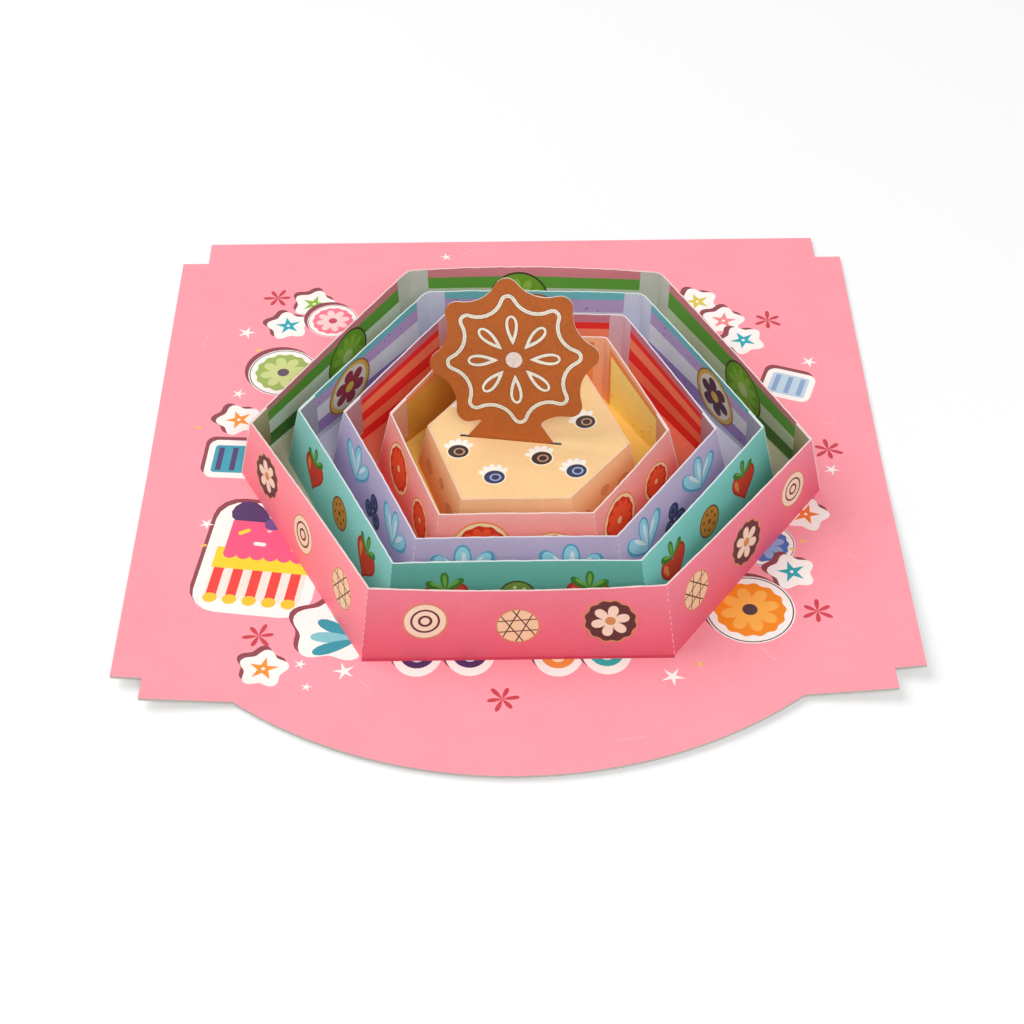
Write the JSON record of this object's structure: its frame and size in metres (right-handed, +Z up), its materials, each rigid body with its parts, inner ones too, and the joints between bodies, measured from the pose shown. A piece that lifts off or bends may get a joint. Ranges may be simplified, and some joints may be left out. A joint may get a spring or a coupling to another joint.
{
  "type": "pop-up card",
  "caption": "Open pop-up greeting card: a flat notched board with nested hexagonal paper rings, a lidded hub and a scalloped stand-up biscuit in its slit.",
  "frame": {"origin": "under the middle of the open board, on the surface that it lies on", "axes": "+Z up, +Y from the rounded apron towards the back edge, +X to the right along the centre fold"},
  "size_m": [0.2, 0.207, 0.0578],
  "materials": {
    "board_print": "printed card, satin",
    "pink_card": "printed card, satin",
    "teal_card": "printed card, satin",
    "lavender_card": "printed card, satin",
    "coral_card": "printed card, satin",
    "peach_card": "printed card, satin",
    "cream_card": "printed card, satin",
    "brown_card": "printed card, satin"
  },
  "bodies": {
    "root": {"board": "board_print", "hub_lid": "cream_card", "biscuit": "brown_card", "hub_front_strip": "peach_card", "hub_back_strip": "peach_card", "coral_ring_front_strip": "coral_card", "coral_ring_back_strip": "coral_card", "lavender_ring_front_strip": "lavender_card", "lavender_ring_back_strip": "lavender_card", "teal_ring_front_strip": "teal_card", "teal_ring_back_strip": "teal_card", "pink_ring_front_strip": "pink_card", "pink_ring_back_strip": "pink_card"}
  },
  "joints": []
}
